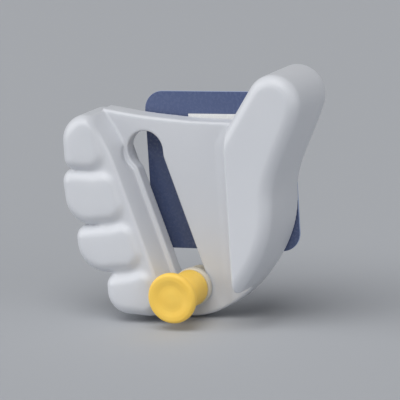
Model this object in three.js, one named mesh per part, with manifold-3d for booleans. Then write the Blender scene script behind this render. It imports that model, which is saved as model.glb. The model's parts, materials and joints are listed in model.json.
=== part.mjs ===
// Stick-on mop holder in the form of a hand with its thumb up. The handle of a mop goes into the
// channel between the palm and the thumb, and a roller that slides down a slanted slot wedges it there.
// Millimetres. X runs right, Z up and Y into the wall, so the front faces -Y. The origin is the middle
// of the pad's wall side. A depth is a distance out from the wall, so a point's Y is minus its depth.

import * as THREE from "three";
import { mergeVertices, toCreasedNormals } from "three/addons/utils/BufferGeometryUtils.js";
import Module from "manifold-3d";

const wasm = await Module();
wasm.setup();

// Pad on the wall: adhesive, film, and strips of foam tape under the shell.
const padSize = 65;
const padCorner = 8;
const adhesiveThickness = 0.5;
const filmThickness = 0.4;
const tapeThickness = 1;
const tapeMargin = 2.5;
const topTapeLength = 45;
const topTapeWidth = 11;
const rightTapeStart = -8;
const rightTapeLength = 30;
const rightTapeWidth = 19;
const rightTapeFoot = -31;
const leftTapeLength = 13;
const leftTapeWidth = 4.4;
const leftTapeTravel = 16.5;

// Moulded shell.
const wall = 2.2;
const floorDepth = 11;
const palmDepth = 22;
const fingerDepth = 26;
const thumbDepth = 33;
const rimRound = 1.4;
const palmRound = 5;
const fingerRound = 5.5;
const thumbRound = 5;
const ribThickness = 1.6;
const thumbRibDepth = 22;
const thumbRibHeights = [16, -4, -24];

// Roller's place of rest at the slot's lower end, and its way up the slot.
const restX = -10.5;
const restZ = -45.5;
const slotLean = THREE.MathUtils.degToRad(18.1);
const slotTravel = 59.4;
const slideClearance = 0.3;
const railHeight = 3.2;
const guideClearance = 1.7;

// Handle channel. The palm's side runs along the slot, and its offset is measured from the slot's middle.
const palmWallOffset = 8.5;
const palmWallDraft = THREE.MathUtils.degToRad(6);
const thumbWallX = 14;
const thumbWallDraft = THREE.MathUtils.degToRad(3);
const edgeChamfer = 1.2;
const filletHeight = 1.6;
const palmFillet = 0.6;
const thumbFillet = 2.2;
const flareStart = -6;
const flareEnd = 15;
const flareOut = 2.5;
const noseZ = -44.5;
const noseRound = 4;

// Roller: a headed pin in a bush, with a stiff core and a soft sleeve on its front end.
const pinRadius = 4;
const pinChamfer = 0.8;
const pinFit = 0.1;
const bushWall = 2;
const headLip = 0.7;
const headClearance = 0.4;
const headThickness = 1.8;
const headRound = 0.7;
const collarLip = 1.4;
const collarThickness = 2.7;
const collarRound = 0.6;
const pressFit = 0.05;
const coreWall = 1.5;
const coreEnd = 4.7;
const coreChamfer = 1;
const sleeveWall = 1.35;
const sleeveEnd = 3.8;
const sleeveRound = 1;
const barrelSwell = 0.5;
const barrelStart = 7;
const waistDrop = 1.2;
const flangeLip = 2.8;
const flangeThickness = 3.6;
const flangeRound = 1.5;
const rimWidth = 3.8;
const rimDrop = 0.25;
const dishWidth = 2.2;
const dishDrop = 0.9;
const bossRadius = 3;
const bossDrop = 0.35;
const rollerDepth = 35;

// Fineness of round stretches, and a length past every edge for cutting tools.
const arcSteps = 6;
const curveSteps = 10;
const roundSteps = 4;
const filletSteps = 3;
const latheSteps = 36;
const leastRound = 0.2;
const beyond = 120;

// Sizes that follow from those above.
const filmDepth = adhesiveThickness;
const tapeDepth = filmDepth + filmThickness;
const bondDepth = tapeDepth + tapeThickness;
const neckRadius = pinRadius + pinFit + bushWall;
const slotHalfWidth = neckRadius + slideClearance;
const headRadius = slotHalfWidth + headLip;
const holeRadius = headRadius + headClearance;
const guideOffset = headRadius + guideClearance + ribThickness / 2;
const railBackDepth = floorDepth - wall - railHeight;
const headDepth = railBackDepth - slideClearance;
const collarRadius = slotHalfWidth + collarLip;
const collarDepth = floorDepth + slideClearance;
const collarFront = collarDepth + collarThickness;
const sleeveDepth = collarFront + slideClearance;
const coreRadius = pinRadius + pressFit + coreWall;
const coreFront = rollerDepth - sleeveEnd;
const pinFront = coreFront - coreEnd;
const sleeveBore = coreRadius + pressFit;
const sleeveWaist = sleeveBore + sleeveWall;
const sleeveRadius = sleeveWaist + barrelSwell;
const flangeRadius = sleeveRadius + flangeLip;
const flangeBack = rollerDepth - flangeThickness;

// Directions up the slot, and across it to the palm.
const slotUp = new THREE.Vector2(-Math.sin(slotLean), Math.cos(slotLean));
const toPalm = new THREE.Vector2(-Math.cos(slotLean), -Math.sin(slotLean));
const rest = new THREE.Vector2(restX, restZ);

function alongSlot(travel, offset) {
  return rest.clone().addScaledVector(slotUp, travel).addScaledVector(toPalm, offset);
}

// Turns a geometry made with the slot upright and the roller at the origin to its place on the hand.
function onSlot(geometry) {
  return geometry.rotateY(-slotLean).translate(restX, 0, restZ);
}

// Closed outline with a true arc at each corner. A corner is x, z and radius, counter-clockwise.
function roundedOutline(corners) {
  const shape = new THREE.Shape();
  corners.forEach(([x, z, radius], i) => {
    const here = new THREE.Vector2(x, z);
    const [px, pz] = corners.at(i - 1);
    const [nx, nz] = corners[(i + 1) % corners.length];
    const back = new THREE.Vector2(px, pz).sub(here).normalize();
    const ahead = new THREE.Vector2(nx, nz).sub(here).normalize();
    const half = Math.acos(THREE.MathUtils.clamp(back.dot(ahead), -1, 1)) / 2;
    const centre = back.clone().add(ahead).normalize();
    centre.multiplyScalar(radius / Math.sin(half)).add(here);
    const run = radius / Math.tan(half);
    const from = here.clone().addScaledVector(back, run);
    const to = here.clone().addScaledVector(ahead, run);
    const start = Math.atan2(from.y - centre.y, from.x - centre.x);
    const end = Math.atan2(to.y - centre.y, to.x - centre.x);
    if (i === 0) shape.moveTo(from.x, from.y);
    else shape.lineTo(from.x, from.y);
    shape.absarc(centre.x, centre.y, radius, start, end, false);
  });
  shape.closePath();
  return shape;
}

// Outline of lines and curves. A stretch is its end, after the handles of its curve if it has any.
function curvedOutline([start, ...stretches]) {
  const shape = new THREE.Shape();
  shape.moveTo(...start);
  for (const stretch of stretches) {
    if (stretch.length === 2) shape.lineTo(...stretch);
    else if (stretch.length === 4) shape.quadraticCurveTo(...stretch);
    else shape.bezierCurveTo(...stretch);
  }
  return shape;
}

function outlinePoints(shape) {
  const points = shape.getPoints(arcSteps);
  const kept = points.filter((p, i) => p.distanceTo(points.at(i - 1)) > 1e-3);
  return THREE.ShapeUtils.isClockWise(kept) ? kept.reverse() : kept;
}

// Solid through rings of equal point counts, from the wall outwards. A ring is a depth and its points.
function loft(rings) {
  const count = rings[0].points.length;
  const position = [];
  const index = [];
  for (const { depth, points } of rings) {
    for (const p of points) position.push(p.x, -depth, p.y);
  }
  for (let r = 0; r + 1 < rings.length; r++) {
    for (let j = 0; j < count; j++) {
      const a = r * count + j;
      const b = r * count + ((j + 1) % count);
      index.push(a, b, b + count, a, b + count, a + count);
    }
  }
  const last = (rings.length - 1) * count;
  for (const [a, b, c] of THREE.ShapeUtils.triangulateShape(rings[0].points, [])) {
    index.push(c, b, a);
  }
  for (const [a, b, c] of THREE.ShapeUtils.triangulateShape(rings.at(-1).points, [])) {
    index.push(last + a, last + b, last + c);
  }
  const geometry = new THREE.BufferGeometry();
  geometry.setAttribute("position", new THREE.Float32BufferAttribute(position, 3));
  geometry.setIndex(index);
  return geometry;
}

// Soft-edged block such as a finger: each point of the outline draws in towards the middle over the
// rounded front.
function crowned(shape, back, front, round, inset) {
  const outline = outlinePoints(shape);
  const middle = new THREE.Vector2();
  for (const p of outline) middle.addScaledVector(p, 1 / outline.length);
  const drawn = (by) =>
    outline.map((p) => p.clone().sub(middle).setLength(p.distanceTo(middle) - by).add(middle));
  const rings = [{ depth: back, points: drawn(inset) }];
  for (let i = 0; i <= roundSteps; i++) {
    const turn = (i / roundSteps) * (Math.PI / 2);
    rings.push({
      depth: front - round + (round - inset) * Math.sin(turn),
      points: drawn(round - (round - inset) * Math.cos(turn)),
    });
  }
  return loft(rings);
}

// Block of one outline with an even round on its front edge. Its rounded back end lies behind the back
// depth, where handForm trims it off.
function moulded(shape, back, front, round, inset) {
  const edge = Math.max(round - inset, leastRound);
  const geometry = new THREE.ExtrudeGeometry(shape, {
    depth: front - inset - back,
    bevelEnabled: true,
    bevelSize: edge,
    bevelThickness: edge,
    bevelOffset: -edge - inset,
    bevelSegments: roundSteps - 1,
    curveSegments: curveSteps,
  });
  geometry.translate(0, 0, back - edge);
  return geometry.rotateX(Math.PI / 2);
}

function plate(shape, back, front) {
  const geometry = new THREE.ExtrudeGeometry(shape, {
    depth: front - back,
    bevelEnabled: false,
    curveSegments: curveSteps,
  });
  return geometry.translate(0, 0, back).rotateX(Math.PI / 2);
}

function boxBetween(x0, x1, depth0, depth1, z0, z1) {
  const geometry = new THREE.BoxGeometry(x1 - x0, depth1 - depth0, z1 - z0);
  return geometry.translate((x0 + x1) / 2, -(depth0 + depth1) / 2, (z0 + z1) / 2);
}

function solid(geometry) {
  const bare = geometry.clone();
  bare.deleteAttribute("normal");
  bare.deleteAttribute("uv");
  const merged = mergeVertices(bare, 1e-4);
  return new wasm.Manifold(
    new wasm.Mesh({
      numProp: 3,
      vertProperties: merged.attributes.position.array,
      triVerts: new Uint32Array(merged.index.array),
    }),
  );
}

function geometryOf(manifold) {
  const mesh = manifold.getMesh();
  const geometry = new THREE.BufferGeometry();
  geometry.setAttribute("position", new THREE.BufferAttribute(mesh.vertProperties, 3));
  geometry.setIndex(new THREE.BufferAttribute(mesh.triVerts, 1));
  return geometry;
}

function joined(parts) {
  return parts.reduce((sum, part) => sum.add(part));
}

// Outlines of the hand, seen from the front. The fingers run from the top one down.
const fingerCorners = [
  [[-60.2, 3.4, 5.5], [-40.8, 2.2, 7], [-47.2, 27.2, 6], [-60.3, 23.6, 9]],
  [[-60, -20.6, 11.5], [-33.4, -17.4, 7.5], [-39.6, 3.4, 6], [-61.9, 4.4, 5.5]],
  [[-56.2, -39.9, 12.5], [-27, -37.2, 7.5], [-32.6, -17, 6], [-57.2, -19.8, 5]],
  [[-44.8, -55.6, 9.5], [-19.6, -56.6, 7], [-25.8, -36.6, 5.5], [-44.8, -39.6, 5]],
];
const palmCorners = [[-41, -48, 8], [-30, -56, 8], [-8, -58, 5.5], [-24, 23, 6], [-47, 27, 6], [-55, 14, 6]];

// Channel floor: the plate that carries the slot, with its hollowed top edge and rounded lower edge.
const floorTopZ = 22;
const floorStretches = [
  [-47, 26.9],
  [-52, 0],
  [-40, -44],
  [-29, -55.8],
  [-24, -57.6, -20, -58.6, -14, -58.6],
  [-1, -58.5, 11, -50.5, 18.5, -42],
  [24, -30],
  [24, floorTopZ],
  [10, floorTopZ],
  [-22, floorTopZ, -47, 26.9],
];

// Thumb: straight slanted inner side, round tip, hollow waist and a lower end that runs into the floor.
// The channel cuts its left edge.
const tipX = 36.3;
const tipZ = 33;
const tipRadius = 11.2;
const tipStart = THREE.MathUtils.degToRad(-12);
const tipEnd = THREE.MathUtils.degToRad(146);
const tipFoot = [tipX + tipRadius * Math.cos(tipStart), tipZ + tipRadius * Math.sin(tipStart)];
const thumbLeft = thumbWallX - thumbRound;
const thumbStretches = [
  [thumbLeft, 12.7],
  [thumbLeft, -49],
  [18.2, -41.8],
  [29.8, -28.4, 33.3, -18, 33.3, -6],
  [33.3, 5, 45.4, 21.8, ...tipFoot],
];

const fingers = fingerCorners.map(roundedOutline);
const palm = roundedOutline(palmCorners);
const floorPlate = curvedOutline(floorStretches);
floorPlate.closePath();
const thumb = curvedOutline(thumbStretches);
thumb.absarc(tipX, tipZ, tipRadius, tipStart, tipEnd, false);
thumb.closePath();

// Space for the handle, from the floor outwards: fillets at its foot, drafted walls, chamfered edges, a
// flare at the palm's top and a round under the thumb's lower end.
function channel(grow) {
  const ring = (depth, palmIn, thumbIn) => {
    const rise = Math.max(depth - floorDepth, 0);
    const offset = palmWallOffset + grow + Math.tan(palmWallDraft) * rise - palmIn;
    const right = thumbWallX + grow + Math.tan(thumbWallDraft) * rise - thumbIn;
    const outline = new THREE.Shape();
    const low = alongSlot(-beyond / 2, offset);
    const bend = alongSlot(slotTravel + flareStart, offset);
    const turn = alongSlot(slotTravel + (flareStart + flareEnd) / 2, offset);
    const out = alongSlot(slotTravel + flareEnd, offset + flareOut);
    const top = alongSlot(beyond, offset + flareOut);
    const nose = noseZ + grow;
    outline.moveTo(right + noseRound, low.y);
    outline.lineTo(right + noseRound, nose);
    outline.quadraticCurveTo(right, nose, right, nose + noseRound);
    outline.lineTo(right, top.y);
    outline.lineTo(top.x, top.y);
    outline.lineTo(out.x, out.y);
    outline.quadraticCurveTo(turn.x, turn.y, bend.x, bend.y);
    outline.lineTo(low.x, low.y);
    outline.closePath();
    return { depth, points: outlinePoints(outline) };
  };
  const rings = [];
  for (let i = 0; i <= filletSteps; i++) {
    const turn = (i / filletSteps) * (Math.PI / 2);
    const short = 1 - Math.sin(turn);
    const depth = floorDepth - grow + filletHeight * (1 - Math.cos(turn));
    rings.push(ring(depth, palmFillet * short, thumbFillet * short));
  }
  rings.push(ring(palmDepth - grow - edgeChamfer, 0, 0));
  rings.push(ring(palmDepth - grow, -edgeChamfer, 0));
  rings.push(ring(thumbDepth - grow - edgeChamfer, -edgeChamfer, 0));
  rings.push(ring(thumbDepth - grow, -edgeChamfer, -edgeChamfer));
  rings.push(ring(2 * thumbDepth, -edgeChamfer, -edgeChamfer));
  return solid(loft(rings));
}

// The whole hand as a solid, every face moved in by the inset.
function handForm(inset, back) {
  const raised = joined([
    ...fingers.map((shape) => solid(crowned(shape, back, fingerDepth, fingerRound, inset))),
    solid(moulded(palm, back, palmDepth, palmRound, inset)),
    solid(moulded(thumb, back, thumbDepth, thumbRound, inset)),
  ]);
  const plateForm = solid(moulded(floorPlate, back, floorDepth, rimRound, inset));
  const front = solid(boxBetween(-beyond, beyond, back, beyond, -beyond, beyond));
  return raised.subtract(channel(inset)).add(plateForm).intersect(front);
}

// Slot with a round hole at its top, or the rail round them, from one depth to another.
function keyhole(grow, back, front) {
  const halfWidth = slotHalfWidth + grow;
  const slot = new THREE.Shape();
  slot.absarc(0, 0, halfWidth, Math.PI, 2 * Math.PI, false);
  slot.lineTo(halfWidth, slotTravel);
  slot.lineTo(-halfWidth, slotTravel);
  slot.closePath();
  const hole = new THREE.CylinderGeometry(holeRadius + grow, holeRadius + grow, front - back, latheSteps);
  hole.translate(0, -(front + back) / 2, slotTravel);
  return solid(onSlot(plate(slot, back, front))).add(solid(onSlot(hole)));
}

// Rib beside the slot, from the bond plane up to the floor. The side is -1 for the palm and 1 for the thumb.
function guideRib(side) {
  const near = side * guideOffset - ribThickness / 2;
  const far = near + ribThickness;
  const top = slotTravel + headRadius;
  return solid(onSlot(boxBetween(near, far, bondDepth, floorDepth, -headRadius, top)));
}

// Rib across the thumb, from the guide rib to the thumb's outer wall.
function thumbRib(z) {
  const start = alongSlot((z - restZ) / Math.cos(slotLean), -guideOffset);
  return solid(boxBetween(start.x, tipX, bondDepth, thumbRibDepth, z, z + ribThickness));
}

function handShell() {
  const outer = handForm(0, bondDepth);
  const cavity = handForm(wall, bondDepth - wall);
  const rail = keyhole(ribThickness, railBackDepth, floorDepth - wall / 2);
  const ribs = joined([rail, guideRib(-1), guideRib(1), ...thumbRibHeights.map(thumbRib)]);
  const shell = outer.subtract(cavity).add(ribs.intersect(outer));
  return shell.subtract(keyhole(0, bondDepth - wall, floorDepth + wall));
}

// Turned pieces: a profile is radius and depth, from the front on the axis round to the back.
function turned(profile) {
  const points = profile.map(([radius, depth]) => new THREE.Vector2(radius, -depth));
  return new THREE.LatheGeometry(points, latheSteps);
}

// Points of a round edge in a profile, from one angle to another about its centre.
function roundEdge(radius, depth, round, from, to) {
  const points = [];
  for (let i = 0; i <= filletSteps; i++) {
    const turn = THREE.MathUtils.degToRad(from + ((to - from) * i) / filletSteps);
    points.push([radius + round * Math.cos(turn), depth + round * Math.sin(turn)]);
  }
  return points;
}

const slideBush = turned([
  [pinRadius + pinFit, collarFront],
  ...roundEdge(collarRadius - collarRound, collarFront - collarRound, collarRound, 90, 0),
  [collarRadius, collarDepth],
  [neckRadius, collarDepth],
  [neckRadius, railBackDepth],
  [pinRadius + pinFit, railBackDepth],
  [pinRadius + pinFit, collarFront],
]);

const rollerAxle = turned([
  [0, pinFront],
  [pinRadius - pinChamfer, pinFront],
  [pinRadius, pinFront - pinChamfer],
  [pinRadius, headDepth],
  [headRadius, headDepth],
  ...roundEdge(headRadius - headRound, headDepth - headThickness + headRound, headRound, 0, -90),
  [0, headDepth - headThickness],
]);

const rollerCore = turned([
  [0, coreFront],
  [coreRadius - coreChamfer, coreFront],
  [coreRadius, coreFront - coreChamfer],
  [coreRadius, sleeveDepth],
  [pinRadius + pressFit, sleeveDepth],
  [pinRadius + pressFit, pinFront + pressFit],
  [0, pinFront + pressFit],
]);

// Soft spool: raised middle, dished ring and round rim in front, then a waist that swells to a barrel.
const rimRadius = flangeRadius - rimWidth;
const gripSleeve = turned([
  [0, rollerDepth - bossDrop],
  [bossRadius / 2, rollerDepth - bossDrop],
  [rimRadius - dishWidth, rollerDepth - dishDrop],
  [rimRadius - dishWidth / 2, rollerDepth - dishDrop],
  [rimRadius, rollerDepth - rimDrop],
  ...roundEdge(flangeRadius - flangeRound, rollerDepth - flangeRound, flangeRound, 90, 0),
  ...roundEdge(flangeRadius - flangeRound, flangeBack + flangeRound, flangeRound, 0, -90),
  [sleeveWaist, flangeBack - waistDrop],
  [sleeveWaist, flangeBack - barrelStart / 2],
  [sleeveRadius, flangeBack - barrelStart],
  ...roundEdge(sleeveRadius - sleeveRound, sleeveDepth + sleeveRound, sleeveRound, 0, -90),
  [sleeveBore, sleeveDepth],
  [sleeveBore, coreFront + pressFit],
  [0, coreFront + pressFit],
]);

const half = padSize / 2;
const padOutline = roundedOutline([
  [-half, -half, padCorner],
  [half, -half, padCorner],
  [half, half, padCorner],
  [-half, half, padCorner],
]);

// Strips of foam tape: one under the floor's top edge, one under the thumb, one along the slot's left rib.
const tapeRight = half - tapeMargin;
const topTapeZ = floorTopZ + rimRound;
const rightTapeTop = rightTapeFoot + rightTapeWidth;
const topTape = boxBetween(
  tapeRight - topTapeLength,
  tapeRight,
  tapeDepth,
  bondDepth,
  topTapeZ - topTapeWidth,
  topTapeZ,
);
const rightTape = boxBetween(
  rightTapeStart,
  rightTapeStart + rightTapeLength,
  tapeDepth,
  bondDepth,
  rightTapeFoot,
  rightTapeTop,
);
const leftTape = onSlot(
  boxBetween(
    -guideOffset - leftTapeWidth,
    -guideOffset,
    tapeDepth,
    bondDepth,
    leftTapeTravel,
    leftTapeTravel + leftTapeLength,
  ),
);

const materials = {
  shell: { color: 0xd9dce2, roughness: 0.42, metalness: 0 },
  pin: { color: 0xe4dfd0, roughness: 0.45, metalness: 0 },
  core: { color: 0xe8e6df, roughness: 0.5, metalness: 0 },
  sleeve: { color: 0xf2bf3f, roughness: 0.55, metalness: 0 },
  tape: { color: 0xf2f2f0, roughness: 0.85, metalness: 0 },
  film: { color: 0x5f74b0, roughness: 0.2, metalness: 0, transparent: true, opacity: 0.6 },
  adhesive: { color: 0xa9b4cc, roughness: 0.3, metalness: 0, transparent: true, opacity: 0.5 },
};

function piece(name, geometry, material) {
  const mesh = new THREE.Mesh(
    toCreasedNormals(geometry, Math.PI / 6),
    new THREE.MeshStandardMaterial(materials[material]),
  );
  mesh.name = name;
  return mesh;
}

const holder = new THREE.Group();
holder.name = "mop_holder";
holder.add(piece("hand_shell", geometryOf(handShell()), "shell"));
holder.add(piece("wall_adhesive", plate(padOutline, 0, filmDepth), "adhesive"));
holder.add(piece("carrier_film", plate(padOutline, filmDepth, tapeDepth), "film"));
holder.add(piece("bond_tape_top", topTape, "tape"));
holder.add(piece("bond_tape_right", rightTape, "tape"));
holder.add(piece("bond_tape_left", leftTape, "tape"));

// The roller stands on the slot's middle line, at its lower end.
const roller = new THREE.Group();
roller.name = "roller";
roller.position.set(restX, 0, restZ);
roller.add(piece("slide_bush", slideBush, "pin"));
roller.add(piece("roller_axle", rollerAxle, "pin"));
roller.add(piece("roller_core", rollerCore, "core"));
roller.add(piece("grip_sleeve", gripSleeve, "sleeve"));
holder.add(roller);

export default holder;
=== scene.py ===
"""Looks of a stick-on mop holder in the form of a hand with its thumb up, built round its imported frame."""

import json
import math

import bmesh
import bpy
import numpy as np
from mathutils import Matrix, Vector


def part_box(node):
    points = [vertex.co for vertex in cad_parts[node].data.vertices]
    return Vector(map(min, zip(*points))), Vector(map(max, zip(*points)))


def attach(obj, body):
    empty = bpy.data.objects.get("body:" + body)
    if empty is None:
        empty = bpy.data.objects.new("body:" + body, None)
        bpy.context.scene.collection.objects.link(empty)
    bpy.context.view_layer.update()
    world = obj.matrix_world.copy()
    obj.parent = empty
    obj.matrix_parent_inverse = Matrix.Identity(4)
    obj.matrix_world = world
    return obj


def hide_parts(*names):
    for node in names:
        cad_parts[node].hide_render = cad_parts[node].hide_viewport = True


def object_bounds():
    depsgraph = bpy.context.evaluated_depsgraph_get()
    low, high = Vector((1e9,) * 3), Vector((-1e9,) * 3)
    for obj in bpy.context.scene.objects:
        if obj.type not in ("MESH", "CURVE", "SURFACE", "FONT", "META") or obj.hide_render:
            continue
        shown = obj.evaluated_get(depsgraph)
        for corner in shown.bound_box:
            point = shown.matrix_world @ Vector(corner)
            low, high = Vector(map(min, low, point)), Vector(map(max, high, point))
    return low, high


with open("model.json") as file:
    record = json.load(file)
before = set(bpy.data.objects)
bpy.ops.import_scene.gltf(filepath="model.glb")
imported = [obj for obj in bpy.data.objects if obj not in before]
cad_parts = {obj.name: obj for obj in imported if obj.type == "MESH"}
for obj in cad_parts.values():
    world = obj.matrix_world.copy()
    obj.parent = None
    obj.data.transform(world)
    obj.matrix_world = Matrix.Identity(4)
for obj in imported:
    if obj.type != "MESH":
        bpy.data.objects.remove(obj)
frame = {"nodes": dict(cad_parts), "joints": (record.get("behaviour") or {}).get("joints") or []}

import openvdb
from bpy.props import FloatProperty, FloatVectorProperty, IntProperty, PointerProperty
from mathutils import Matrix, Vector

bl_info = {
    "name": "Mop Holder Looks",
    "version": (1, 0, 0),
    "blender": (4, 5, 0),
    "location": "View3D > Sidebar > Mop Holder",
    "description": "Builds the visible pieces and finishes of a hand-shaped mop holder",
    "category": "Object",
}

MM = 0.001
TINY = 1e-7
CAD_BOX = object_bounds()

# Joints and boxes of the frame. A depth is a distance out from the wall, so it is minus Y.
JOINTS = {joint["name"]: joint for joint in frame["joints"]}
SLOT_UP = np.array(JOINTS["roller_slide"]["axis"])[[0, 2]]
SLOT_TRAVEL = JOINTS["roller_slide"]["range_m"][1]
ROLLER_X, _, ROLLER_Z = JOINTS["roller_spin"]["pos_m"]


def depths(node):
    """Nearest and farthest depth of a node from the wall."""
    low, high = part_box(node)
    return -high.y, -low.y


def radius(node):
    """Largest radius of a turned node."""
    low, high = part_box(node)
    return (high.x - low.x) / 2


BOND_DEPTH, THUMB_DEPTH = depths("hand_shell")

# Corners of the hand's outlines from the front, in millimetres: x, z and radius, counter-clockwise.
FINGERS = (
    ((-60.2, 3.4, 5.5), (-39.4, 2.2, 7.5), (-45, 27.8, 7), (-60.3, 23.6, 11)),
    ((-60, -20.6, 11.5), (-31.9, -17.2, 7.5), (-38.1, 3.4, 7), (-61.9, 4.4, 5.5)),
    ((-56.2, -39.9, 12.5), (-25.5, -37, 7.5), (-31.3, -16.9, 7), (-57.2, -19.8, 5)),
    ((-44.8, -55.6, 9.5), (-18.6, -56.6, 7), (-24.6, -36.4, 6), (-44.8, -39.6, 5)),
)
PALM = ((-41, -48, 8), (-30, -56, 8), (-8, -58, 5.5), (-24, 23, 6), (-47, 27, 6), (-55, 14, 6))
RIB_HEIGHTS = (16, -4, -24)

# Directions from the object to the lights, by the name of the light's strength
LIGHTS = {"key": (0.05, -0.5, 0.85), "left": (-0.85, -0.4, 0.35), "right": (0.85, -0.45, 0.2)}


def linear(code):
    """Linear colour of an sRGB hex value."""
    parts = [int(code[i:i + 2], 16) / 255 for i in (1, 3, 5)]
    return tuple(c / 12.92 if c <= 0.04045 else ((c + 0.055) / 1.055) ** 2.4 for c in parts)


def length(name, description, millimetres):
    """Property for a length."""
    return FloatProperty(name=name, description=description, default=millimetres * MM, unit="LENGTH")


def angle(name, description, degrees):
    """Property for an angle."""
    return FloatProperty(name=name, description=description, default=math.radians(degrees), subtype="ANGLE")


def colour(name, description, code):
    """Property for a colour."""
    return FloatVectorProperty(name=name, description=description, default=linear(code), subtype="COLOR")


class HandSizes(bpy.types.PropertyGroup):
    """Sizes of the moulded hand"""

    wall: length("Wall", "Thickness of the moulded wall", 2.2)
    floor_depth: length("Floor depth", "Depth of the channel's floor from the wall", 11)
    palm_depth: length("Palm depth", "Depth of the palm's crest from the wall", 23.5)
    finger_depth: length("Finger depth", "Depth of the fingers from the wall", 26)
    finger_round: length("Finger round", "Width of a finger's soft edge, seen from the front", 5)
    finger_end: length("Finger end", "Width of the tighter edge at a finger's end on the palm", 2.4)
    finger_roll: length("Finger roll", "Drop of a finger's soft edge towards the wall", 5.2)
    finger_crown: length("Finger crown", "Swell of a finger's front", 0.7)
    crown_width: length("Crown width", "Distance from a finger's edge to the top of its swell", 9)
    finger_crease: length("Finger crease", "Reach of the soft crease between two fingers", 1.0)
    finger_blend: length("Finger blend", "Reach of the soft foot of a finger on the palm", 1.8)
    palm_round: length("Palm round", "Radius of the palm's outer edge", 5)
    thumb_round: length("Thumb round", "Radius of the thumb's front edge", 5.2)
    rim_round: length("Rim round", "Radius of the floor's outer edge", 1.4)
    channel_edge: length("Channel edge", "Reach of the soft edge along the channel's walls", 1.4)
    palm_offset: length("Palm offset", "Distance of the palm's wall from the slot's middle", 8.0)
    thumb_wall: length("Thumb wall", "Place of the thumb's wall, to the right of the pad's middle", 14)
    palm_foot: length("Palm foot", "Reach of the fillet under the palm's wall", 0.8)
    thumb_foot: length("Thumb foot", "Reach of the fillet under the thumb's wall", 7)
    slot_radius: length("Slot radius", "Half the slot's width", 6.4)
    hole_radius: length("Hole radius", "Radius of the round hole at the slot's top", 7.8)
    hole_pocket: length("Hole pocket", "Radius of the hollow in the palm's wall round the hole", 9.7)
    hole_lean: FloatProperty(name="Hole lean", description="Slope of that hollow's side", default=0.3)
    hole_drop: length("Hole drop", "Distance of the hole's middle below the roller's highest place", 1)
    hole_shift: length("Hole shift", "Distance of the hole's middle to the left of the slot's middle", 0.4)
    keyhole_blend: length("Keyhole blend", "Reach of the soft corner between the slot and the hole", 1)
    slot_edge: length("Slot edge", "Reach of the soft edge round the slot", 0.7)
    end_start: length("End start", "Distance from the slot where a finger's edge starts to widen", 11)
    end_fade: length("End fade", "Distance over which a finger's edge widens", 9)
    palm_draft: angle("Palm draft", "Draft of the channel's palm side", 6)
    thumb_draft: angle("Thumb draft", "Draft of the channel's thumb side", 3)
    flare_start: length("Flare start", "Start of the palm side's flare below the roller's highest place", 3)
    flare_run: length("Flare run", "Length over which the flare reaches its set width", 21)
    flare_out: length("Flare out", "Width of the flare at the end of that length", 3)
    nose_foot: length("Nose foot", "Height of the lower end of the thumb's wall", -44.5)
    nose_round: length("Nose round", "Radius of the lower end of the thumb's wall", 4)
    channel_sink: length("Channel sink", "Depth of the channel's cut past its floor", 4)
    least_foot: length("Least foot", "Reach of the fillets where they fade", 0.2)
    outline_edge: FloatProperty(
        name="Outline edge", description="Share of a fillet that softens at the outline", default=0.15)
    foot_fade: length("Foot fade", "Distance outside the channel over which its fillets end", 1.5)
    foot_change: length("Foot change", "Distance over which one wall's fillet gives way to the other's", 20)
    back_edge: length("Back edge", "Reach of the soft edges and fillets at the back", 0.6)
    rib: length("Rib", "Thickness of the ribs at the back", 1.6)
    rib_offset: length("Rib offset", "Distance of the ribs beside the slot from the slot's edge", 3.2)
    rib_end: length("Rib end", "Length of those ribs past the slot's ends", 7.1)
    rib_depth: length("Rib depth", "Depth of the ribs across the thumb from the wall", 22)
    rib_right: length("Rib right", "Place of the right end of the ribs across the thumb", 36.3)
    rail: length("Rail", "Height of the rail behind the slot", 3.2)
    step: length("Step", "Spacing of the grid that the shell is drawn on", 0.5)
    room: length("Room", "Room round the shell on that grid", 3)
    kept: FloatProperty(name="Kept", description="Share of its faces that the mesh keeps", default=0.5)


class RollerSizes(bpy.types.PropertyGroup):
    """Sizes of the roller that the frame's boxes don't give"""

    neck: length("Neck radius", "Radius of the bush in the slot", 6.1)
    bore: length("Bore radius", "Radius of the bush's bore", 4.1)
    collar: length("Collar thickness", "Thickness of the bush's collar", 2.7)
    pin: length("Pin radius", "Radius of the axle", 4)
    head: length("Head thickness", "Thickness of the axle's head", 1.8)
    barrel: length("Barrel radius", "Radius of the sleeve's plain end", 7.45)
    waist: length("Waist radius", "Radius of the sleeve behind its flange", 6.95)
    flange: length("Flange thickness", "Thickness of the sleeve's flange", 3.6)
    dish: length("Dish depth", "Depth of the dished ring in the sleeve's face", 0.45)
    boss: length("Boss radius", "Radius of the raised middle of the sleeve's face", 2.0)
    boss_drop: length("Boss drop", "Depth of that middle under the face's rim", 0.25)
    dish_inside: length("Dish inside", "Inner radius of the dished ring", 4.2)
    dish_outside: length("Dish outside", "Outer radius of the dished ring", 5.4)
    rim: length("Rim radius", "Radius where the face's rim starts", 7.6)
    undercut: length("Undercut", "Slope of the flange's back, from its rim to the waist", 0.5)
    waist_run: length("Waist run", "Distance from the flange to the end of the waist", 3.5)
    barrel_run: length("Barrel run", "Distance from the flange to the start of the plain end", 7)
    core: length("Core radius", "Radius of the sleeve's bore", 5.6)
    end_wall: length("End wall", "Thickness of the sleeve in front of its core", 3.75)
    segments: IntProperty(name="Segments", description="Steps round a turned piece", default=120, min=12)


class PadSizes(bpy.types.PropertyGroup):
    """Sizes of the adhesive pad's corners and edges"""

    corner: length("Corner", "Radius of the pad's corners", 8)
    film_edge: length("Film edge", "Width of the film's cut edge", 0.12)
    tape_edge: length("Tape edge", "Rounding of the foam tape's edges", 0.25)
    tape_trim: length("Tape trim", "Length cut off the left end of the top strip", 2)


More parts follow.
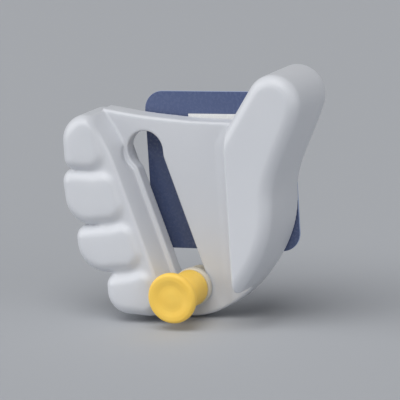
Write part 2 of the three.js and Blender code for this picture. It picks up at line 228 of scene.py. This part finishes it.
class Finishes(bpy.types.PropertyGroup):
    """Colours of the materials"""

    shell: colour("Shell", "Colour of the moulded hand", "#d9dbe0")
    shell_deep: colour("Shell, deep", "Shell colour where the melt ran thick", "#d2d5db")
    sleeve: colour("Sleeve", "Colour of the soft sleeve", "#ffd765")
    # Darker, oranger colour of the sleeve's random patches: painted reflection.
    sleeve_painted_reflection: colour("Sleeve, deep", "Sleeve colour where it is denser", "#f9c94e")
    bush: colour("Bush", "Colour of the bush and axle", "#ddd6c6")
    film: colour("Film", "Colour of the film", "#525f84")
    film_edge: colour("Film edge", "Colour of the film's cut edge", "#9fb0d4")
    adhesive: colour("Adhesive", "Colour of the adhesive", "#7f8eb4")
    foam: colour("Foam", "Colour of the foam tape", "#eeeeec")
    floor: colour("Floor", "Colour of the studio floor", "#b2b5ba")


class StageSettings(bpy.types.PropertyGroup):
    """Camera, lights and floor"""

    azimuth: angle("Azimuth", "Camera's turn to the right", 24.7)
    elevation: angle("Elevation", "Camera's height", 11.25)
    roll: angle("Roll", "Camera's turn about its view", 3.63)
    distance: length("Distance", "Distance of the camera from its aim", 1200)
    aim: FloatVectorProperty(
        name="Aim", description="Point in the middle of the picture",
        default=(-10.94 * MM, 0, -12.46 * MM), subtype="TRANSLATION", unit="LENGTH")
    lens: FloatProperty(name="Lens", description="Focal length in millimetres", default=265.85)
    key: FloatProperty(name="Key", description="Strength of the light from above", default=1.8)
    left: FloatProperty(name="Left", description="Strength of the light from the left", default=1.3)
    right: FloatProperty(name="Right", description="Strength of the light from the right", default=0.8)
    ambient: FloatProperty(name="Ambient", description="Strength of the even light", default=0.15)
    softness: angle("Softness", "Width of each light, seen from the object", 50)
    floor_half: length("Floor half", "Half the side of the floor", 4000)
    floor_gap: length("Floor gap", "Gap between the floor and the object", 0.5)


class MopHolder(bpy.types.PropertyGroup):
    """All settings of the mop holder"""

    hand: PointerProperty(type=HandSizes)
    roller: PointerProperty(type=RollerSizes)
    pad: PointerProperty(type=PadSizes)
    finishes: PointerProperty(type=Finishes)
    stage: PointerProperty(type=StageSettings)


# Outlines

def arc(centre, size, start, end, steps=12):
    """Points of an arc between two angles in degrees."""
    turns = np.radians(np.linspace(start, end, steps + 1))
    return np.column_stack((centre[0] + size * np.cos(turns), centre[1] + size * np.sin(turns)))


def curve(*handles, steps=20):
    """Points of a Bezier curve with four handles."""
    a, b, c, d = (np.array(h, float) for h in handles)
    t = np.linspace(0, 1, steps + 1)[:, None]
    return a * (1 - t) ** 3 + 3 * b * t * (1 - t) ** 2 + 3 * c * t * t * (1 - t) + d * t ** 3


def rounded(corners, closed=True):
    """Points of an outline with an arc of its own radius at each corner. An open one keeps its ends."""
    points = []
    for i, (x, z, size) in enumerate(corners):
        here = np.array((x, z), float)
        at_end = not closed and i in (0, len(corners) - 1)
        if at_end or size == 0:
            points.append(here[None])
            continue
        back = np.array(corners[i - 1][:2]) - here
        ahead = np.array(corners[(i + 1) % len(corners)][:2]) - here
        back /= np.linalg.norm(back)
        ahead /= np.linalg.norm(ahead)
        middle = (back + ahead) / np.linalg.norm(back + ahead)
        half = math.acos(np.clip(back @ ahead, -1, 1)) / 2
        centre = here + middle * size / math.sin(half)
        first = here + back * size / math.tan(half) - centre
        last = here + ahead * size / math.tan(half) - centre
        start = math.atan2(first[1], first[0])
        sweep = math.atan2(first[0] * last[1] - first[1] * last[0], first @ last)
        points.append(arc(centre, size, math.degrees(start), math.degrees(start + sweep), steps=10))
    return np.vstack(points)


def floor_outline():
    """Channel floor, with its hollowed top edge and rounded lower edge."""
    return np.vstack((
        [(-52, 0), (-40, -44), (-29, -55.8)],
        curve((-29, -55.8), (-24, -57.6), (-20, -58.6), (-14, -58.6)),
        curve((-14, -58.6), (-1, -58.5), (11, -50.5), (18.5, -42)),
        [(24, -30), (24, 22)],
        curve((10, 22), (-11.3, 22), (-30.3, 23.6), (-47, 26.9)),
    ))


def thumb_outline():
    """Thumb: straight slanted inner side, round tip, hollow waist and a lower end that meets the floor."""
    tip = arc((36.3, 33), 11.2, -12, 146, steps=30)
    return np.vstack((
        [(8.2, 11.5)],
        curve((8.2, -51.1), (12.15, -48.4), (15.65, -45.2), (18.5, -42)),
        curve((18.5, -42), (29.8, -28.4), (33.3, -18), (33.3, -6)),
        curve((33.3, -6), (33.3, 5), (45.4, 21.8), tip[0]),
        tip,
    ))


# Shell drawn as a field of signed distances, negative inside

class Grid:
    """Even grid over the hand: x to the right, depth out from the wall, z up."""

    def __init__(self, low, high, step):
        self.low = np.array(low)
        self.step = step
        x, depth, z = (
            (a + step * np.arange(math.ceil((b - a) / step) + 1)).astype(np.float32)
            for a, b in zip(low, high))
        self.x = x[:, None, None]
        self.depth = depth[None, :, None]
        self.z = z[None, None, :]


def outline_distance(points, grid):
    """Distance from a closed outline in millimetres, as seen from the front."""
    points = np.asarray(points) * MM
    nearest = np.float32(1)
    inside = False
    for (ax, az), (bx, bz) in zip(points, np.roll(points, -1, axis=0)):
        ex, ez = bx - ax, bz - az
        if ex == 0 and ez == 0:
            continue
        px, pz = grid.x - ax, grid.z - az
        t = np.clip((px * ex + pz * ez) / (ex * ex + ez * ez), 0, 1)
        nearest = np.minimum(nearest, (px - t * ex) ** 2 + (pz - t * ez) ** 2)
        if ez != 0:
            crossed = ((az > grid.z) != (bz > grid.z)) & (px < pz * ex / ez)
            inside = inside ^ crossed
    return np.where(inside, -1, 1).astype(np.float32) * np.sqrt(nearest)


def smooth_min(a, b, reach):
    """Join of two forms with a soft fillet between them."""
    near = np.maximum(reach - np.abs(a - b), 0)
    return np.minimum(a, b) - near * near / (4 * reach)


def smooth_max(a, b, reach):
    """Overlap of two forms with a soft edge between them."""
    return -smooth_min(-a, -b, reach)


def pillow(across, depth, front, in_plane, in_depth):
    """Block whose front edge rolls over an ellipse. across is the distance from its outline."""
    u = across / in_plane + 1
    v = (depth - front) / in_depth + 1
    outside = np.hypot(np.maximum(u, 0), np.maximum(v, 0))
    return (outside + np.minimum(np.maximum(u, v), 0) - 1) * np.minimum(in_plane, in_depth)


def box_field(grid, low, high, x=None, z=None):
    """Box between two corners, on the grid's own x and z or on turned ones."""
    x = grid.x if x is None else x
    z = grid.z if z is None else z
    sides = [
        np.abs(value - (a + b) / 2) - (b - a) / 2
        for value, a, b in zip((x, grid.depth, z), low, high)]
    return np.maximum(np.maximum(sides[0], sides[1]), sides[2])


def slot_places(grid):
    """Distance up the slot from the roller's rest, and distance to the left of the slot's middle."""
    right, up = SLOT_UP
    x, z = grid.x - ROLLER_X, grid.z - ROLLER_Z
    return x * right + z * up, z * right - x * up


def raised_field(grid, hand, aside):
    """Fingers, palm and thumb as blocks with soft front edges, and the outline of all three."""
    depth = grid.depth
    outer = np.clip((aside - hand.end_start) / hand.end_fade, 0, 1)
    edge = hand.finger_end + (hand.finger_round - hand.finger_end) * outer
    palm = outline_distance(rounded(PALM), grid)
    thumb = outline_distance(thumb_outline(), grid)
    plan = np.minimum(palm, thumb)
    fingers = None
    for corners in FINGERS:
        across = outline_distance(rounded(corners), grid)
        plan = np.minimum(plan, across)
        low = 1 - np.clip(-across / hand.crown_width, 0, 1)
        front = hand.finger_depth - hand.finger_crown * low * low
        finger = pillow(across, depth, front, edge, hand.finger_roll)
        fingers = finger if fingers is None else smooth_min(fingers, finger, hand.finger_crease)
    palm = pillow(palm, depth, hand.palm_depth, hand.palm_round, hand.palm_round)
    thumb = pillow(thumb, depth, THUMB_DEPTH, hand.thumb_round, hand.thumb_round)
    return np.minimum(smooth_min(fingers, palm, hand.finger_blend), thumb), plan


def channel_gaps(grid, hand, along, aside, hole):
    """Distances past the channel's palm side, which flares at its top, and past its thumb side."""
    rise = np.maximum(grid.depth - hand.floor_depth, 0)
    flare = np.clip((along - SLOT_TRAVEL + hand.flare_start) / hand.flare_run, 0, None)
    palm_gap = aside - hand.palm_offset - hand.flare_out * flare ** 2 - math.tan(hand.palm_draft) * rise
    pocket = hole - hand.hole_pocket + hand.hole_lean * rise
    palm_gap = smooth_min(palm_gap, pocket, hand.back_edge)
    nose = np.clip((grid.z - hand.nose_foot) / hand.nose_round, 0, 1)
    thumb_gap = grid.x - hand.thumb_wall - hand.nose_round * (1 - np.sqrt(nose)) ** 2
    return palm_gap, thumb_gap - math.tan(hand.thumb_draft) * rise


def rib_field(grid, hand, along, aside, keyhole):
    """Rail round the keyhole, a rib on each side of the slot and the ribs across the thumb."""
    right, up = SLOT_UP
    back, front = BOND_DEPTH, hand.floor_depth
    guide = hand.slot_radius + hand.rib_offset
    rail_middle = front - hand.wall - hand.rail / 2
    ribs = np.maximum(np.abs(keyhole - hand.rib / 2) - hand.rib / 2,
                      np.abs(grid.depth - rail_middle) - hand.rail / 2 - hand.wall / 2)
    for side in (-guide, guide):
        low = (side - hand.rib / 2, back, -hand.rib_end)
        high = (side + hand.rib / 2, front, SLOT_TRAVEL + hand.rib_end)
        ribs = np.minimum(ribs, box_field(grid, low, high, aside, along))
    for height in RIB_HEIGHTS:
        foot = height * MM
        left = ROLLER_X + (foot - ROLLER_Z) * right / up + guide / up
        high = (hand.rib_right, hand.rib_depth, foot + hand.rib)
        ribs = np.minimum(ribs, box_field(grid, (left, back, foot), high))
    return ribs


def hand_field(grid, hand):
    """Moulded hand: a solid form, hollowed from behind to its wall, with ribs and the keyhole slot."""
    depth = grid.depth
    along, aside = slot_places(grid)
    hole = np.hypot(aside - hand.hole_shift, along - SLOT_TRAVEL + hand.hole_drop)
    slot = np.hypot(aside, along - np.clip(along, 0, SLOT_TRAVEL)) - hand.slot_radius
    keyhole = smooth_min(slot, hole - hand.hole_radius, hand.keyhole_blend)

    raised, plan = raised_field(grid, hand, aside)
    palm_gap, thumb_gap = channel_gaps(grid, hand, along, aside, hole)
    between = np.maximum(palm_gap, thumb_gap)
    channel = np.maximum(between, hand.floor_depth - hand.channel_sink - depth)
    raised = smooth_max(raised, -channel, hand.channel_edge)

    # The fillet is wider under the thumb than under the palm, fades outside the channel and ends at the
    # hand's outline.
    floor = outline_distance(floor_outline(), grid)
    plate = pillow(floor, depth, hand.floor_depth, hand.rim_round, hand.rim_round)
    side = np.clip(0.5 + (thumb_gap - palm_gap) / hand.foot_change, 0, 1)
    fade = np.clip(1 - between / hand.foot_fade, 0, 1)
    foot = (hand.palm_foot + (hand.thumb_foot - hand.palm_foot) * side) * fade
    foot = np.maximum(foot, hand.least_foot)
    form = smooth_min(raised, plate, foot)
    form = smooth_max(form, np.minimum(plan, floor), hand.outline_edge * foot)

    shell = np.maximum(form, -form - hand.wall)
    shell = smooth_max(shell, BOND_DEPTH - depth, hand.back_edge)
    ribs = np.maximum(rib_field(grid, hand, along, aside, keyhole), form + hand.wall / 2)
    shell = smooth_min(shell, ribs, hand.back_edge)
    return smooth_max(shell, -keyhole, hand.slot_edge)


def field_mesh(name, field, grid, keep):
    """Mesh of a field's surface, thinned to a share of its faces."""
    volume = openvdb.FloatGrid()
    volume.copyFromArray(field.astype(np.float32))
    points, quads = volume.convertToQuads(isovalue=0.0)
    places = grid.low + points * grid.step
    places[:, 1] *= -1
    corners = places[quads]
    volume_six = np.einsum("ij,ij->", corners[:, 0], np.cross(corners[:, 1], corners[:, 2]))
    if volume_six < 0:
        quads = quads[:, ::-1]
    mesh = bpy.data.meshes.new(name)
    mesh.from_pydata(places, [], quads)
    piece = bpy.data.objects.new(name, mesh)
    bpy.context.scene.collection.objects.link(piece)
    thin = piece.modifiers.new("Thin", "DECIMATE")
    thin.ratio = keep
    bpy.context.view_layer.update()
    shown = piece.evaluated_get(bpy.context.evaluated_depsgraph_get())
    piece.data = bpy.data.meshes.new_from_object(shown)
    piece.modifiers.clear()
    piece.data.name = name
    piece.data.shade_smooth()
    bpy.data.meshes.remove(mesh)
    return piece


# Turned and flat pieces

def turned(name, profile, segments, closed=False):
    """Piece turned about the roller's axis. A profile is radius and depth, from the front to the back."""
    work = bmesh.new()
    turns = np.linspace(0, 2 * math.pi, segments, endpoint=False)
    rings = []
    for size, depth in profile:
        if size < TINY:
            rings.append([work.verts.new((ROLLER_X, -depth, ROLLER_Z))])
            continue
        rings.append([
            work.verts.new((ROLLER_X + size * math.cos(t), -depth, ROLLER_Z + size * math.sin(t)))
            for t in turns])
    pairs = list(zip(rings, rings[1:] + rings[:1])) if closed else list(zip(rings, rings[1:]))
    for near, far in pairs:
        for i in range(segments):
            j = (i + 1) % segments
            ring = [near[i % len(near)], near[j % len(near)], far[j % len(far)], far[i % len(far)]]
            work.faces.new(list(dict.fromkeys(ring)))
    bmesh.ops.recalc_face_normals(work, faces=work.faces)
    return piece_from(name, work)


def slab(name, outline, back, front, edge):
    """Flat sheet of one outline between two depths, with softened edges."""
    work = bmesh.new()
    base = work.faces.new([work.verts.new((x, -back, z)) for x, z in outline])
    grown = bmesh.ops.extrude_face_region(work, geom=[base])["geom"]
    moved = [v for v in grown if isinstance(v, bmesh.types.BMVert)]
    bmesh.ops.translate(work, verts=moved, vec=(0, back - front, 0))
    bmesh.ops.recalc_face_normals(work, faces=work.faces)
    rims = [e for e in work.edges if abs(e.verts[0].co.y - e.verts[1].co.y) < TINY]
    bmesh.ops.bevel(work, geom=rims, offset=edge, segments=3, profile=0.5, affect="EDGES")
    return piece_from(name, work)


def node_outline(node):
    """Corners of a flat convex node, counter-clockwise as seen from the front."""
    spots = {(round(v.co.x, 6), round(v.co.z, 6)) for v in frame["nodes"][node].data.vertices}
    middle = np.mean(list(spots), axis=0)
    return sorted(spots, key=lambda spot: math.atan2(spot[1] - middle[1], spot[0] - middle[0]))


def piece_from(name, work, sharp=35):
    """Object of a finished bmesh, smooth but for edges sharper than an angle in degrees."""
    mesh = bpy.data.meshes.new(name)
    work.to_mesh(mesh)
    work.free()
    mesh.shade_smooth()
    mesh.set_sharp_from_angle(angle=math.radians(sharp))
    piece = bpy.data.objects.new(name, mesh)
    bpy.context.scene.collection.objects.link(piece)
    return piece


def stand_for(piece, node, body):
    """Puts a piece in a node's place on its body."""
    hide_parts(node)
    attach(piece, body)


# Materials

def add_node(tree, kind, inputs=None, **settings):
    """Adds a node, sets its properties, and fills its inputs with values or other nodes' outputs."""
    node = tree.nodes.new(kind)
    for name, value in settings.items():
        setattr(node, name, value)
    for name, value in (inputs or {}).items():
        if isinstance(value, bpy.types.NodeSocket):
            tree.links.new(value, node.inputs[name])
        else:
            node.inputs[name].default_value = value
    return node


def blank(name, **values):
    """New material with its shader, whose constant inputs are set here."""
    material = bpy.data.materials.new(name)
    material.use_nodes = True
    shader = material.node_tree.nodes["Principled BSDF"]
    for label, value in values.items():
        shader.inputs[label.replace("_", " ")].default_value = value
    return material, material.node_tree, shader


def place(tree):
    """Coordinates on the object, in metres."""
    return add_node(tree, "ShaderNodeTexCoord").outputs["Object"]


def rgba(value):
    """Colour with full opacity."""
    return (*value, 1.0)


def noise(tree, size, detail):
    """Cloudy noise with spots of a size in millimetres."""
    texture = add_node(tree, "ShaderNodeTexNoise", {
        "Vector": place(tree), "Scale": 1 / (size * MM), "Detail": detail})
    return texture.outputs["Fac"]


def mix_colours(tree, shader, share, first, second):
    """Base colour that runs from one colour to another."""
    mixed = add_node(tree, "ShaderNodeMixRGB", {
        "Fac": share, "Color1": rgba(first), "Color2": rgba(second)})
    tree.links.new(mixed.outputs["Color"], shader.inputs["Base Color"])


def vary_roughness(tree, shader, value, least, most):
    """Roughness that follows a noise, which lies between 0.3 and 0.7 nearly everywhere."""
    rough = add_node(tree, "ShaderNodeMapRange", {
        "Value": value, "From Min": 0.3, "From Max": 0.7, "To Min": least, "To Max": most})
    tree.links.new(rough.outputs["Result"], shader.inputs["Roughness"])


def add_relief(tree, shader, height, strength, depth):
    """Fine relief of a depth in millimetres."""
    bump = add_node(tree, "ShaderNodeBump", {
        "Height": height, "Strength": strength, "Distance": depth * MM})
    tree.links.new(bump.outputs["Normal"], shader.inputs["Normal"])


def moulded_abs(looks):
    """Injection-moulded ABS: satin from a fine spark-eroded grain, a little unevenness where it cooled."""
    material, tree, shader = blank("Moulded ABS", IOR=1.53)
    mix_colours(tree, shader, noise(tree, 30, 2.0), looks.shell, looks.shell_deep)
    # The real grain is near 0.1 mm, too fine to show, so it is drawn at 0.5 mm.
    grain = noise(tree, 0.5, 3.0)
    vary_roughness(tree, shader, grain, 0.36, 0.48)
    add_relief(tree, shader, grain, 0.12, 0.05)
    return material


def moulded_elastomer(looks):
    """Soft moulded elastomer: a dry satin skin with a fine matt grain, and darker, oranger patches at random
    as painted reflection.
    """
    material, tree, shader = blank("Moulded soft elastomer", IOR=1.5)
    # Random 7 mm patches of the darker colour stand in for patchy reflections on the sleeve: painted
    # reflection.
    mix_colours(tree, shader, noise(tree, 7, 3.0), looks.sleeve, looks.sleeve_painted_reflection)
    # The real skin's grain is near 0.15 mm and is drawn at 0.6 mm, so that it shows.
    grain = noise(tree, 0.6, 3.0)
    vary_roughness(tree, shader, grain, 0.44, 0.58)
    add_relief(tree, shader, grain, 0.15, 0.06)
    return material


def moulded_acetal(looks):
    """Moulded acetal, as bushes and pins are: waxy cream with faint rings from its turned mould."""
    material, tree, shader = blank("Moulded acetal", IOR=1.48)
    cloud = noise(tree, 5, 2.0)
    mix_colours(tree, shader, cloud, looks.bush, [0.88 * c for c in looks.bush])
    vary_roughness(tree, shader, cloud, 0.3, 0.42)
    # At a scale of 1 / 8 mm the rings are 2.5 mm apart along the axis.
    rings = add_node(tree, "ShaderNodeTexWave", {
        "Vector": place(tree), "Scale": 1 / (8 * MM), "Distortion": 0.5}, bands_direction="Y")
    add_relief(tree, shader, rings.outputs["Fac"], 0.1, 0.03)
    return material


def tinted_film(name, tint, rough_low, rough_high):
    """Tinted clear plastic of the pad: glossy, with faint waves and trapped specks."""
    material, tree, shader = blank(name, IOR=1.5)
    specks = noise(tree, 1.2, 4.0)
    mix_colours(tree, shader, specks, tint, [c + 0.015 for c in tint])
    vary_roughness(tree, shader, specks, rough_low, rough_high)
    add_relief(tree, shader, noise(tree, 9, 1.0), 0.2, 0.3)
    return material


def foam(looks):
    """Closed-cell foam of the tape: matt white with small cut cell hollows, each painted darker in its
    middle as painted shade.
    """
    material, tree, shader = blank("Closed-cell foam", IOR=1.45, Roughness=0.9)
    cells_and_painted_shade = add_node(tree, "ShaderNodeTexVoronoi", {"Vector": place(tree), "Scale": 1 / (0.4 * MM)})
    # Each cell's middle, where the relief sinks into a hollow, gets the darker colour: painted shade in the
    # hollows.
    mix_colours(tree, shader, cells_and_painted_shade.outputs["Distance"], [0.8 * c for c in looks.foam], looks.foam)
    add_relief(tree, shader, cells_and_painted_shade.outputs["Distance"], 0.5, 0.15)
    return material


def painted_floor(looks):
    """Matt painted studio floor, with the faint clouds that a roller leaves."""
    material, tree, shader = blank("Matt studio paint", Roughness=0.85)
    mix_colours(tree, shader, noise(tree, 400, 2.0), looks.floor, [0.985 * c for c in looks.floor])
    return material


# Operators

class MOPHOLDER_OT_shell(bpy.types.Operator):
    """Make the moulded hand with its soft edges, ribs and keyhole slot"""
    bl_idname = "mopholder.shell"
    bl_label = "Hand shell"

    def execute(self, context):
        settings = context.scene.mop_holder
        hand = settings.hand
        low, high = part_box("hand_shell")
        grid = Grid((low.x - hand.room, BOND_DEPTH - hand.room, low.z - hand.room),
                    (high.x + hand.room, THUMB_DEPTH + hand.room, high.z + hand.room), hand.step)
        piece = field_mesh("hand_moulding", hand_field(grid, hand), grid, hand.kept)
        piece.data.materials.append(moulded_abs(settings.finishes))
        stand_for(piece, "hand_shell", "holder")
        return {"FINISHED"}


class MOPHOLDER_OT_roller(bpy.types.Operator):
    """Make the soft sleeve, its bush and its axle as turned pieces"""
    bl_idname = "mopholder.roller"
    bl_label = "Roller"

    def execute(self, context):
        settings = context.scene.mop_holder
        sizes = settings.roller
        acetal = moulded_acetal(settings.finishes)
        self.sleeve(sizes, moulded_elastomer(settings.finishes))
        self.bush(sizes, acetal)
        self.axle(sizes, acetal)
        core = frame["nodes"]["roller_core"]
        core.data.materials.clear()
        core.data.materials.append(acetal)
        return {"FINISHED"}

    def finish(self, name, corners, sizes, material, closed=False):
        """Turns a profile of radius, depth and corner radius in millimetres, and gives it its material."""
        profile = rounded([(r / MM, d / MM, size) for r, d, size in corners], closed) * MM
        piece = turned(name, profile, sizes.segments, closed)
        piece.data.materials.append(material)
        return piece

    def sleeve(self, sizes, material):
        back, front = depths("grip_sleeve")
        flange = radius("grip_sleeve")
        under = front - sizes.flange
        dish = front - sizes.dish
        boss = front - sizes.boss_drop
        core = front - sizes.end_wall
        piece = self.finish("soft_sleeve", (
            (0, boss, 0),
            (sizes.boss, boss, 5),
            (sizes.dish_inside, dish, 4),
            (sizes.dish_outside, dish, 4),
            (sizes.rim, front, 4),
            (flange, front, 1.5),
            (flange, under, 1.5),
            (sizes.waist, under - sizes.undercut, 0.8),
            (sizes.waist, under - sizes.waist_run, 4),
            (sizes.barrel, under - sizes.barrel_run, 6),
            (sizes.barrel, back, 1.0),
            (sizes.core, back, 0.2),
            (sizes.core, core, 0),
            (0, core, 0),
        ), sizes, material)
        stand_for(piece, "grip_sleeve", "roller")

    def bush(self, sizes, material):
        back, front = depths("slide_bush")
        collar = radius("slide_bush")
        seat = front - sizes.collar
        piece = self.finish("collar_bush", (
            (sizes.bore, front, 0.2),
            (collar, front, 0.7),
            (collar, seat, 0.3),
            (sizes.neck, seat, 0.2),
            (sizes.neck, back, 0.4),
            (sizes.bore, back, 0.2),
        ), sizes, material, closed=True)
        stand_for(piece, "slide_bush", "slider")

    def axle(self, sizes, material):
        back, front = depths("roller_axle")
        head = radius("roller_axle")
        seat = back + sizes.head
        piece = self.finish("headed_axle", (
            (0, front, 0),
            (sizes.pin, front, 0.8),
            (sizes.pin, seat, 0.2),
            (head, seat, 0.25),
            (head, back, 0.7),
            (0, back, 0),
        ), sizes, material)
        stand_for(piece, "roller_axle", "roller")


class MOPHOLDER_OT_pad(bpy.types.Operator):
    """Make the adhesive pad's film, adhesive and foam tape"""
    bl_idname = "mopholder.pad"
    bl_label = "Adhesive pad"

    def execute(self, context):
        settings = context.scene.mop_holder
        sizes, looks = settings.pad, settings.finishes
        film = tinted_film("Tinted PET film", looks.film, 0.18, 0.34)
        edge = tinted_film("Cut PET edge", looks.film_edge, 0.25, 0.4)
        gel = tinted_film("Clear acrylic adhesive", looks.adhesive, 0.12, 0.3)
        for node, name, slot, front in (
                ("carrier_film", "pad_film", "pad_film", film),
                ("wall_adhesive", "pad_adhesive", "pad_adhesive", gel)):
            low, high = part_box(node)
            size = sizes.corner / MM
            outline = rounded((
                (low.x / MM, low.z / MM, size), (high.x / MM, low.z / MM, size),
                (high.x / MM, high.z / MM, size), (low.x / MM, high.z / MM, size))) * MM
            piece = slab(name, outline, *depths(node), sizes.film_edge)
            piece.data.materials.append(front)
            piece.data.materials.append(edge)
            # Faces that look sideways are the cut edge.
            for face in piece.data.polygons:
                face.material_index = int(abs(face.normal.y) < 0.9)
            stand_for(piece, node, "holder")
        white = foam(looks)
        for side in ("top", "left", "right"):
            node = "bond_tape_" + side
            outline = node_outline(node)
            if side == "top":
                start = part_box(node)[0].x + sizes.tape_trim
                outline = [(max(x, start), z) for x, z in outline]
            piece = slab("foam_strip_" + side, outline, *depths(node), sizes.tape_edge)
            piece.data.materials.append(white)
            stand_for(piece, node, "holder")
        return {"FINISHED"}


class MOPHOLDER_OT_stage(bpy.types.Operator):
    """Make the floor, lights and camera"""
    bl_idname = "mopholder.stage"
    bl_label = "Studio"

    def execute(self, context):
        settings = context.scene.mop_holder
        stage = settings.stage
        scene = context.scene
        scene.view_settings.view_transform = "Standard"

        mesh = bpy.data.meshes.new("studio_floor")
        half = stage.floor_half
        height = CAD_BOX[0].z - stage.floor_gap
        corners = ((-half, -half), (half, -half), (half, half), (-half, half))
        mesh.from_pydata([(x, y, height) for x, y in corners], [], [(0, 1, 2, 3)])
        mesh.materials.append(painted_floor(settings.finishes))
        floor = bpy.data.objects.new("studio_floor", mesh)
        scene.collection.objects.link(floor)

        world = bpy.data.worlds.new("Studio")
        world.use_nodes = True
        world.node_tree.nodes["Background"].inputs["Color"].default_value = (0.95, 0.97, 1.0, 1.0)
        world.node_tree.nodes["Background"].inputs["Strength"].default_value = stage.ambient
        scene.world = world

        for name, direction in LIGHTS.items():
            self.light(name, getattr(stage, name), stage.softness, direction)

        camera = bpy.data.cameras.new("Camera")
        camera.lens = stage.lens
        camera.clip_start = 0.1
        seen = bpy.data.objects.new("Camera", camera)
        scene.collection.objects.link(seen)
        scene.camera = seen
        a, e = stage.azimuth, stage.elevation
        back = Vector((math.sin(a) * math.cos(e), -math.cos(a) * math.cos(e), math.sin(e)))
        right = Vector((math.cos(a), math.sin(a), 0))
        up = back.cross(right)
        turn = Matrix((right, up, back)).transposed() @ Matrix.Rotation(-stage.roll, 3, "Z")
        seen.matrix_world = Matrix.Translation(Vector(stage.aim) + back * stage.distance) @ turn.to_4x4()
        return {"FINISHED"}

    def light(self, name, power, softness, direction):
        """Wide soft light from one direction."""
        lamp = bpy.data.lights.new(name, "SUN")
        lamp.energy = power
        lamp.angle = softness
        shown = bpy.data.objects.new(name, lamp)
        bpy.context.scene.collection.objects.link(shown)
        away = Vector(direction).normalized()
        shown.rotation_mode = "QUATERNION"
        shown.rotation_quaternion = (-away).to_track_quat("-Z", "Y")


class MOPHOLDER_PT_panel(bpy.types.Panel):
    """Lists the steps that build the holder"""
    bl_label = "Mop Holder"
    bl_idname = "MOPHOLDER_PT_panel"
    bl_space_type = "VIEW_3D"
    bl_region_type = "UI"
    bl_category = "Mop Holder"

    def draw(self, context):
        for operator in OPERATORS:
            self.layout.operator(operator.bl_idname)


OPERATORS = (MOPHOLDER_OT_stage, MOPHOLDER_OT_shell, MOPHOLDER_OT_roller, MOPHOLDER_OT_pad)
CLASSES = (
    HandSizes, RollerSizes, PadSizes, Finishes, StageSettings, MopHolder, *OPERATORS, MOPHOLDER_PT_panel)


def register():
    for cls in CLASSES:
        bpy.utils.register_class(cls)
    bpy.types.Scene.mop_holder = PointerProperty(type=MopHolder)


def unregister():
    del bpy.types.Scene.mop_holder
    for cls in reversed(CLASSES):
        bpy.utils.unregister_class(cls)


def main():
    register()
    bpy.ops.mopholder.stage()
    bpy.ops.mopholder.shell()
    bpy.ops.mopholder.roller()
    bpy.ops.mopholder.pad()


if __name__ == "__main__":
    main()
